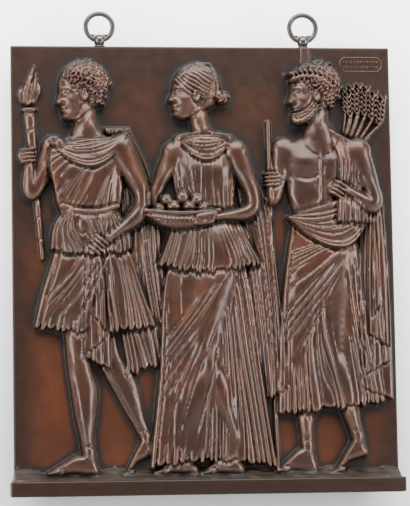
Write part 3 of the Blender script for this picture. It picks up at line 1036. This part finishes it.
def slab_mesh(relief, sizes):
    """the slab as a closed mesh, with the relief on its front"""
    rows, columns = relief.H.shape
    X, Z = np.meshgrid(relief.x, relief.z)
    side = np.minimum(np.minimum(X - relief.x[0], relief.x[-1] - X), relief.z[-1] - Z)
    arris = sizes.arris / MM
    drop = arris - np.sqrt(np.maximum(arris ** 2 - np.maximum(arris - side, 0) ** 2, 0))
    front = np.stack([X, drop - relief.H - sizes.slab_thickness / MM, Z + LOW.z / MM], axis=-1).reshape(-1, 3)
    fields = [(relief.H - drop, 1.0), (smoothed_over(relief, 6.0), 0.3)]
    faces = fitted_triangles(relief, fields, sizes.triangle_limit)
    used = np.zeros(rows * columns, bool)
    used[faces] = True
    number = np.cumsum(used) - 1
    grid = np.arange(rows * columns).reshape(rows, columns)
    loop = np.concatenate([grid[0, :-1], grid[:-1, -1], grid[-1, :0:-1], grid[:0:-1, 0]])
    loop = loop[used[loop]]
    back = front[loop] * (1, 0, 1)
    first, front = used.sum(), front[used]
    here = np.arange(len(loop))
    ahead, loop = np.roll(here, -1), number[loop]
    walls = np.stack([loop[ahead], loop[here], first + here, first + ahead], axis=-1)
    middle = np.array([[0.0, 0.0, 0.0]])
    fan_faces = np.stack([first + ahead, first + here, np.full(len(loop), first + len(loop))], axis=-1)
    return mesh_of("slab", np.concatenate([front, back, middle]) * MM, [number[faces], walls, fan_faces])


def ledge_piece(sizes):
    """the plain ledge under the figures, with rounded edges"""
    mesh = bpy.data.meshes.new("ledge")
    bm = bmesh.new()
    bmesh.ops.create_cube(bm, size=1)
    size = Vector((HIGH.x - LOW.x, sizes.ledge_depth, sizes.ledge_height))
    bmesh.ops.scale(bm, vec=size, verts=bm.verts)
    bmesh.ops.translate(bm, vec=Vector((0, -size.y / 2, LOW.z + size.z / 2)), verts=bm.verts)
    front = [e for e in bm.edges if any(v.co.y < -size.y / 2 for v in e.verts)]
    bmesh.ops.bevel(bm, geom=front, offset=sizes.ledge_rounding, segments=5, profile=0.5, affect="EDGES")
    bm.to_mesh(mesh)
    bm.free()
    return new_object("ledge", mesh)


def cove_piece(sizes):
    """the rough ground that spreads down over the left end of the ledge"""
    edge, top = -sizes.slab_width / 2, LOW.z + sizes.ledge_height
    reach, tall, levels = edge - LOW.x - 0.0004, 0.012, 10
    points, faces = [], []
    for i in range(levels + 1):
        t = i / levels
        out = edge - reach * (1 - t) ** 2.2
        z = top - 0.002 + (tall + 0.002) * t
        deep = -mix(0.021, 0.009, t ** 0.6) + 0.0006 * math.sin(9 * t)
        points += [(edge + 0.004, -0.0005, z), (out, -0.0005, z), (out + 0.0012, deep, z), (edge + 0.004, deep - 0.001, z)]
    for i in range(levels):
        for k in range(4):
            a, b = 4 * i + k, 4 * i + (k + 1) % 4
            faces.append((a, a + 4, b + 4, b))
    faces += [(0, 1, 2, 3), tuple(4 * levels + k for k in (3, 2, 1, 0))]
    mesh = bpy.data.meshes.new("cove")
    mesh.from_pydata(points, [], faces)
    bm = bmesh.new()
    bm.from_mesh(mesh)
    bmesh.ops.recalc_face_normals(bm, faces=bm.faces)
    bm.to_mesh(mesh)
    bm.free()
    return new_object("cove", mesh)


def smoothed_over(relief, reach):
    """the relief's height, averaged over that reach in millimetres"""
    return relief.smoothed((slice(None), slice(None)), reach)


def sample(field, relief, points):
    """values of a field on the relief's grid at points in metres"""
    step = relief.x[1] - relief.x[0]
    u = np.clip((points[:, 0] / MM - relief.x[0]) / step, 0, len(relief.x) - 1.001)
    v = np.clip(((points[:, 2] - LOW.z) / MM - relief.z[0]) / (relief.z[1] - relief.z[0]), 0, len(relief.z) - 1.001)
    i, j = u.astype(int), v.astype(int)
    a, b = u - i, v - j
    return ((field[j, i] * (1 - a) + field[j, i + 1] * a) * (1 - b)
            + (field[j + 1, i] * (1 - a) + field[j + 1, i + 1] * a) * b)


def keep_masks(mesh, relief, sizes):
    """where the patina gathers or is rubbed, kept on the casting's points"""
    H = relief.H
    fine, near, wide = (smoothed_over(relief, reach) for reach in (1.3, 4.0, 9.0))
    halo = smoothed_over(relief, 7.0)
    slope = np.gradient(smoothed_over(relief, 1.8), relief.z, axis=0)
    X, Z = np.meshgrid(relief.x, relief.z)
    side = np.minimum(np.minimum(X - relief.x[0], relief.x[-1] - X), np.minimum(relief.z[-1] - Z, Z + 20))
    rock = ease((24 - Z) / 6)
    fields = {
        "recess": clamp(0.75 * (near - H) / 2.6 + 0.55 * (wide - H) / 6.0 - 0.08),
        "crest": clamp((H - fine) / 0.45) * ease(H - 0.6),
        "raised": ease((H - 0.25) / 1.2),
        "skyward": clamp(clamp(-slope * 0.75) * ease((H - 1) / 2) + 0.85 * rock),
        "sheltered": clamp(halo / 4.0) * (1 - ease(H - 0.4)),
        "rim": clamp(ease(1 - side / 40) + 0.8 * ease((Z - 210) / 110)),
    }
    points = points_of(mesh)
    front = points[:, 1] < -sizes.slab_thickness * 0.8
    plinth = points[:, 2] < LOW.z + sizes.ledge_height + 0.0002
    bare = {"recess": 0.0, "crest": 0.0, "raised": 0.55, "skyward": 0.0, "sheltered": 0.3, "rim": 0.9}
    for name, field in fields.items():
        values = np.where(front, sample(field, relief, points), bare[name])
        if name == "rim":
            values = np.where(plinth, 1.4, values)
        elif name in ("recess", "raised", "sheltered"):
            values = np.where(plinth & front, 0.0, values)
        elif name == "skyward":
            lip = clamp((points[:, 2] - LOW.z - sizes.ledge_height + 0.003) / 0.003)
            values = np.where(plinth & front, 0.9 * lip, values)
        elif name == "crest":
            values = np.where(plinth & front, 0.25 * (points[:, 1] < -sizes.ledge_depth + 0.0006), values)
        mesh.attributes.new(name, "FLOAT", "POINT").data.foreach_set("value", values.astype(np.float32))


def crisp_edges(mesh, sizes):
    """smooth faces, with sharp edges where the flat sides, back and ledge meet"""
    mesh.shade_smooth()
    bm = bmesh.new()
    bm.from_mesh(mesh)
    half, low, ledge_top = sizes.slab_width / 2, LOW.z, LOW.z + sizes.ledge_height
    for edge in bm.edges:
        if len(edge.link_faces) != 2:
            continue
        a, b = edge.verts
        flat = (min(abs(v.co.y) for v in (a, b)) < 0.0003 or min(abs(abs(v.co.x) - half) for v in (a, b)) < 0.0003
                or max(v.co.z for v in (a, b)) > HIGH.z - 0.0003 or min(v.co.z for v in (a, b)) < ledge_top + 0.0003)
        edge.smooth = not (flat and edge.calc_face_angle(0) > math.radians(40))
    bm.to_mesh(mesh)
    bm.free()


class PLAQUE_OT_casting(bpy.types.Operator):
    """Cast the slab with its relief and ledge"""
    bl_idname = "plaque.casting"
    bl_label = "Casting"

    def execute(self, context):
        sizes, colours = context.scene.plaque.sizes, context.scene.plaque.colours
        relief = build(2 ** sizes.relief_levels + 1, 2 ** sizes.relief_levels + 1)
        relief.H *= min(1, (-LOW.y - sizes.slab_thickness) / MM / relief.H.max())
        casting = new_object("relief_casting", slab_mesh(relief, sizes))
        joined(casting, [ledge_piece(sizes), cove_piece(sizes)])
        keep_masks(casting.data, relief, sizes)
        crisp_edges(casting.data, sizes)
        dressed(casting, plaque_bronze(colours), "plaque", "bronze", "plaque")
        return {"FINISHED"}


# ---------------------------------------------------------------- rules for what repeats
class Rule:
    """A Geometry Nodes tree with named inputs"""
    def __init__(self, name):
        self.tree = bpy.data.node_groups.new(name, "GeometryNodeTree")
        self.tree.is_modifier = True
        self.source = self.tree.nodes.new("NodeGroupInput")
        self.ids = {}

    def value(self, name, kind="NodeSocketFloat"):
        socket = self.tree.interface.new_socket(name, in_out="INPUT", socket_type=kind)
        self.ids[name] = socket.identifier
        return next(s for s in self.source.outputs if s.identifier == socket.identifier)

    def node(self, kind, settings=None, sockets=None, output=0):
        node = self.tree.nodes.new(kind)
        for name, value in (settings or {}).items():
            setattr(node, name, value)
        for name, value in (sockets or {}).items():
            socket = node.inputs[name] if isinstance(name, (int, str)) else None
            if isinstance(value, bpy.types.NodeSocket):
                self.tree.links.new(value, socket)
            elif isinstance(value, (list, tuple)) and value and isinstance(value[0], bpy.types.NodeSocket):
                for one in value:
                    self.tree.links.new(one, socket)
            else:
                socket.default_value = value
        return node.outputs[output]

    def finish(self, geometry, material):
        """ends the tree with plain geometry in its material"""
        self.tree.interface.new_socket("Geometry", in_out="OUTPUT", socket_type="NodeSocketGeometry")
        real = self.node("GeometryNodeRealizeInstances", {}, {0: geometry})
        done = self.node("GeometryNodeSetMaterial", {}, {"Geometry": real, "Material": material})
        sink = self.tree.nodes.new("NodeGroupOutput")
        self.tree.links.new(done, sink.inputs[0])

    def run(self, name, values):
        """a plain mesh object made by the tree with these values"""
        thing = new_object(name, bpy.data.meshes.new(name))
        modifier = thing.modifiers.new("rule", "NODES")
        modifier.node_group = self.tree
        for key, value in values.items():
            modifier[self.ids[key]] = value
        return settled(thing)


def ring_rule(material):
    """a ring of round wire, upright, with its centre above the origin"""
    rule = Rule("ring_of_wire")
    radius, wire = rule.value("Ring radius"), rule.value("Wire radius")
    path = rule.node("GeometryNodeCurvePrimitiveCircle", {}, {"Resolution": 96, "Radius": radius})
    section = rule.node("GeometryNodeCurvePrimitiveCircle", {}, {"Resolution": 20, "Radius": wire})
    swept = rule.node("GeometryNodeCurveToMesh", {}, {"Curve": path, "Profile Curve": section})
    up = rule.node("ShaderNodeCombineXYZ", {}, {"Z": radius})
    placed = rule.node("GeometryNodeTransform", {}, {"Geometry": swept, "Translation": up,
                                                     "Rotation": (math.pi / 2, 0, 0)})
    smooth = rule.node("GeometryNodeSetShadeSmooth", {}, {0: placed})
    rule.finish(smooth, material)
    return rule


def extruded(name, outline, thickness):
    """a plate in the XZ plane with that outline, centred on Y"""
    count = len(outline)
    points = [(x, y, z) for y in (-thickness / 2, thickness / 2) for x, z in outline]
    faces = [tuple(range(count)), tuple(range(2 * count - 1, count - 1, -1))]
    faces += [(i, count + i, count + (i + 1) % count, (i + 1) % count) for i in range(count)]
    mesh = bpy.data.meshes.new(name)
    mesh.from_pydata(points, [], faces)
    bm = bmesh.new()
    bm.from_mesh(mesh)
    bmesh.ops.recalc_face_normals(bm, faces=bm.faces)
    bm.to_mesh(mesh)
    bm.free()
    return new_object(name, mesh)


def gusset(sizes, side):
    """the web that fills the corner between a ring's wire and its ball, clear of the ball"""
    ring, clear = sizes.ring_radius, sizes.ball_radius + sizes.ring_play
    top = sizes.ball_radius * 0.95
    steps = 10
    start = math.asin(top / clear)
    along = lambda z: math.sqrt(ring ** 2 - (ring - z) ** 2)
    meet = clear ** 2 / (2 * ring)
    low = math.asin(meet / clear)
    inner = [(clear * math.cos(t), clear * math.sin(t)) for t in np.linspace(low, start, steps)]
    outer = [(along(z), z) for z in np.linspace(top, meet, steps)][:-1]
    return extruded("gusset", [(side * x, z) for x, z in inner + outer], sizes.wire_radius * 1.1)


def leaned(joint):
    """turns the X axis onto the joint's own axis and moves the origin to its place"""
    axis = Vector(joint["axis"]).normalized()
    return Matrix.Translation(Vector(joint["pos_m"])) @ Vector((1, 0, 0)).rotation_difference(axis).to_matrix().to_4x4()


class PLAQUE_OT_rings(bpy.types.Operator):
    """Hang the two rings in their balls"""
    bl_idname = "plaque.rings"
    bl_label = "Rings"

    def execute(self, context):
        sizes, colours = context.scene.plaque.sizes, context.scene.plaque.colours
        material = plain_bronze("ring_bronze", colours.ring, colours.hollows, colours.rubbed, 0.012, 0.34, 0.45)
        rule = ring_rule(material)
        for side in ("left", "right"):
            body = "ring_" + side
            ring = rule.run("hanging_" + body, {"Ring radius": sizes.ring_radius, "Wire radius": sizes.wire_radius})
            joined(ring, [gusset(sizes, -1), gusset(sizes, 1)])
            ring.data.transform(leaned(JOINTS[body]))
            ring.data.shade_smooth()
            ring.data.set_sharp_from_angle(angle=math.radians(38))
            dressed(ring, material, body, "ring_bronze", body)
        return {"FINISHED"}


def turned(name, profile, count):
    """a closed profile of radius and height, turned about Z"""
    turns = [2 * math.pi * i / count for i in range(count)]
    points = [(r * math.cos(a), r * math.sin(a), z) for a in turns for r, z in profile]
    n = len(profile)
    faces = []
    for i in range(count):
        for k in range(n):
            a, b = i * n + k, i * n + (k + 1) % n
            c = (a + n) % (n * count)
            d = (b + n) % (n * count)
            faces.append((a, c, d, b))
    mesh = bpy.data.meshes.new(name)
    mesh.from_pydata(points, [], faces)
    bm = bmesh.new()
    bm.from_mesh(mesh)
    bmesh.ops.remove_doubles(bm, verts=bm.verts, dist=1e-7)
    bmesh.ops.recalc_face_normals(bm, faces=bm.faces)
    bm.to_mesh(mesh)
    bm.free()
    return new_object(name, mesh)


def eye_ball(sizes):
    """the ball, with a bell-mouthed eye along X in which the ring swings"""
    bore = sizes.wire_radius + sizes.ring_play
    eye = lambda x: bore + sizes.ring_radius - math.sqrt(sizes.ring_radius ** 2 - x * x)
    mouth = 0.0
    while math.hypot(mouth, eye(mouth)) < sizes.ball_radius:
        mouth += 0.00001
    outer = math.atan2(eye(mouth), mouth)
    inside = [(eye(x), x) for x in np.linspace(mouth, -mouth, 11)]
    outside = [(sizes.ball_radius * math.sin(t), sizes.ball_radius * math.cos(t))
               for t in np.linspace(math.pi - outer, outer, 26)[1:-1]]
    ball_piece = turned("ball", inside + outside, 48)
    ball_piece.data.transform(Matrix.Rotation(math.pi / 2, 4, "Y"))
    return ball_piece


def foot_piece(sizes, joint):
    """the short oval foot between the slab's top edge and the ball"""
    place = Vector(joint["pos_m"])
    tall = place.z - HIGH.z
    wide, flare = sizes.foot_radius, [(1.0, 0.0), (0.97, 0.06), (0.88, 0.13), (0.82, 0.22), (0.80, 0.31)]
    profile = [(0.0, -0.0)] + [(wide * w, tall * h) for w, h in flare] + [(0.0, tall * 0.31)]
    oval = turned("foot", profile, 40)
    deep = -place.y / wide * 0.72
    oval.data.transform(Matrix.Translation((place.x, place.y, HIGH.z)) @ Matrix.Diagonal((1, deep, 1, 1)))
    return oval


class PLAQUE_OT_studs(bpy.types.Operator):
    """Set the two balls on the slab's top edge"""
    bl_idname = "plaque.studs"
    bl_label = "Studs"

    def execute(self, context):
        sizes, colours = context.scene.plaque.sizes, context.scene.plaque.colours
        material = plain_bronze("stud_bronze", colours.stud, colours.hollows, colours.rubbed, 0.009, 0.26, 0.8)
        for side in ("left", "right"):
            joint = JOINTS["ring_" + side]
            stud = eye_ball(sizes)
            stud.name = "ring_stud_" + side
            stud.data.transform(leaned(joint))
            joined(stud, [foot_piece(sizes, joint)])
            stud.data.shade_smooth()
            stud.data.set_sharp_from_angle(angle=math.radians(38))
            dressed(stud, material, "plaque", "stud_bronze", "eye_stud_" + side)
        return {"FINISHED"}


def label_rule(material):
    """a thin raised frame with rounded corners and rows of short slanted strokes"""
    rule = Rule("label_frame")
    width, height, line = rule.value("Width"), rule.value("Height"), rule.value("Line")
    box = rule.node("GeometryNodeCurvePrimitiveQuadrilateral", {}, {"Width": width, "Height": height})
    corner = rule.node("ShaderNodeMath", {"operation": "MULTIPLY"}, {0: height, 1: 0.28})
    soft = rule.node("GeometryNodeFilletCurve", {}, {"Curve": box, "Radius": corner})
    half = rule.node("ShaderNodeMath", {"operation": "MULTIPLY"}, {0: line, 1: 0.5})
    section = rule.node("GeometryNodeCurvePrimitiveCircle", {}, {"Resolution": 8, "Radius": half})
    border = rule.node("GeometryNodeCurveToMesh", {}, {"Curve": soft, "Profile Curve": section})
    inner_wide = rule.node("ShaderNodeMath", {"operation": "MULTIPLY"}, {0: width, 1: 0.80})
    inner_tall = rule.node("ShaderNodeMath", {"operation": "MULTIPLY"}, {0: height, 1: 0.36})
    grid = rule.node("GeometryNodeMeshGrid", {}, {"Size X": inner_wide, "Size Y": inner_tall,
                                                  "Vertices X": 15, "Vertices Y": 2})
    long = rule.node("ShaderNodeMath", {"operation": "MULTIPLY"}, {0: height, 1: 0.20})
    stroke = rule.node("GeometryNodeMeshUVSphere", {}, {"Segments": 8, "Rings": 6, "Radius": half})
    scale = rule.node("ShaderNodeMath", {"operation": "DIVIDE"}, {0: long, 1: line})
    stretch = rule.node("ShaderNodeCombineXYZ", {}, {"X": 1.0, "Y": scale, "Z": 0.8})
    shaped = rule.node("GeometryNodeTransform", {}, {"Geometry": stroke, "Scale": stretch})
    turn = rule.node("FunctionNodeRandomValue", {"data_type": "FLOAT"}, {2: -0.5, 3: 0.5, "Seed": 4}, 1)
    spin = rule.node("ShaderNodeCombineXYZ", {}, {"Z": turn})
    size = rule.node("FunctionNodeRandomValue", {"data_type": "FLOAT"}, {2: 0.55, 3: 1.1, "Seed": 9}, 1)
    rows = rule.node("GeometryNodeInstanceOnPoints", {}, {"Points": grid, "Instance": shaped,
                                                          "Rotation": spin, "Scale": size})
    both = rule.node("GeometryNodeJoinGeometry", {}, {0: [border, rows]})
    upright = rule.node("GeometryNodeTransform", {}, {"Geometry": both, "Rotation": (math.pi / 2, 0, 0)})
    smooth = rule.node("GeometryNodeSetShadeSmooth", {}, {0: upright})
    rule.finish(smooth, material)
    return rule


class PLAQUE_OT_label(bpy.types.Operator):
    """Lay the little frame with its rows of strokes at the slab's top right"""
    bl_idname = "plaque.label"
    bl_label = "Label frame"

    def execute(self, context):
        sizes, colours = context.scene.plaque.sizes, context.scene.plaque.colours
        material = plain_bronze("label_bronze", colours.figures_red, colours.ground_dark, colours.rubbed, 0.01, 0.34, 0.5)
        label = label_rule(material).run("label_frame", {
            "Width": sizes.label_width, "Height": sizes.label_height, "Line": sizes.label_line})
        centre = Vector((sizes.slab_width / 2 - 0.0255, -sizes.slab_thickness, HIGH.z - 0.0150))
        label.data.transform(Matrix.Translation(centre))
        dressed(label, material, "plaque", "bronze")
        return {"FINISHED"}


def soft_lamp(name, place, target, width, height, power, tint=(1, 1, 1)):
    """a soft lamp that stands at a place, faces a target and isn't seen itself"""
    data = bpy.data.lights.new(name, "AREA")
    data.shape, data.size, data.size_y, data.energy, data.color = "RECTANGLE", width, height, power, tint
    lamp = new_object(name, data)
    lamp.location = place
    lamp.rotation_euler = (Vector(target) - Vector(place)).to_track_quat("-Z", "Y").to_euler()
    lamp.visible_camera = False
    return lamp


class PLAQUE_OT_studio(bpy.types.Operator):
    """Set up the wall, floor, lamps and camera"""
    bl_idname = "plaque.studio"
    bl_label = "Studio"

    def execute(self, context):
        scene, studio = context.scene, context.scene.plaque.studio
        wall_y, floor_z, bend, far = studio.wall_gap, LOW.z - studio.floor_drop, 0.06, 6.0
        line = [(-far, floor_z)]
        line += [(wall_y - bend + bend * math.sin(a), floor_z + bend - bend * math.cos(a))
                 for a in np.linspace(0, math.pi / 2, 13)]
        line += [(wall_y, far)]
        points = [(x, y, z) for y, z in line for x in (-far, far)]
        faces = [(2 * i, 2 * i + 1, 2 * i + 3, 2 * i + 2) for i in range(len(line) - 1)]
        mesh = bpy.data.meshes.new("backdrop")
        mesh.from_pydata(points, [], faces)
        mesh.shade_smooth()
        backdrop = new_object("backdrop", mesh)
        backdrop.data.materials.append(one_sided("backdrop_paper", tuple(scene.plaque.colours.backdrop)))
        backdrop.visible_shadow = False

        middle = Vector((0, 0, (LOW.z + HIGH.z) / 2))
        for name, side in (("lamp_left", -1), ("lamp_right", 1)):
            turn = studio.lamp_turn
            place = middle + studio.lamp_distance * Vector((side * math.sin(turn), -math.cos(turn), 0.10))
            soft_lamp(name, place, middle, studio.lamp_width, studio.lamp_height, studio.lamp_power)
        soft_lamp("lamp_top", middle + Vector((0, -1.2, 1.5)), middle, 2.6, 1.4, 230.0)
        soft_lamp("lamp_back", (0.3, 1.6, 0.9), middle, 1.4, 1.0, studio.lamp_power * 1.2)
        world = bpy.data.worlds.new("room")
        world.use_nodes = True
        background = world.node_tree.nodes["Background"]
        background.inputs["Color"].default_value = (1.0, 0.98, 0.96, 1)
        background.inputs["Strength"].default_value = studio.sky
        scene.world = world

        data = bpy.data.cameras.new("camera")
        data.lens = studio.camera_lens
        data.clip_end = 50
        camera = new_object("camera", data)
        tilt, roll, turn = studio.camera_turn
        level = Matrix.Rotation(math.pi / 2, 4, "X")
        camera.matrix_world = (Matrix.Translation(Vector(studio.camera_place)) @ Matrix.Rotation(turn, 4, "Z")
                               @ Matrix.Rotation(tilt, 4, "X") @ Matrix.Rotation(roll, 4, "Y") @ level)
        scene.camera = camera
        return {"FINISHED"}


class PLAQUE_PT_maker(bpy.types.Panel):
    """Lists the pieces and what can be changed"""
    bl_label = "Bronze relief plaque"
    bl_idname = "PLAQUE_PT_maker"
    bl_space_type = "VIEW_3D"
    bl_region_type = "UI"
    bl_category = "Plaque"

    def draw(self, context):
        settings = context.scene.plaque
        for operator in OPERATORS:
            self.layout.operator(operator.bl_idname)
        for group in (settings.sizes, settings.colours, settings.studio):
            box = self.layout.box()
            for name in group.__annotations__:
                box.prop(group, name)


OPERATORS = (PLAQUE_OT_studio, PLAQUE_OT_casting, PLAQUE_OT_label, PLAQUE_OT_studs, PLAQUE_OT_rings)
CLASSES = (PlaqueSizes, PlaqueColours, PlaqueStudio, PlaqueSettings) + OPERATORS + (PLAQUE_PT_maker,)


def register():
    for cls in CLASSES:
        bpy.utils.register_class(cls)
    bpy.types.Scene.plaque = PointerProperty(type=PlaqueSettings)


def unregister():
    del bpy.types.Scene.plaque
    for cls in reversed(CLASSES):
        bpy.utils.unregister_class(cls)


def main():
    register()
    bpy.ops.plaque.studio()
    bpy.ops.plaque.casting()
    bpy.ops.plaque.label()
    bpy.ops.plaque.studs()
    bpy.ops.plaque.rings()


if __name__ == "__main__":
    main()
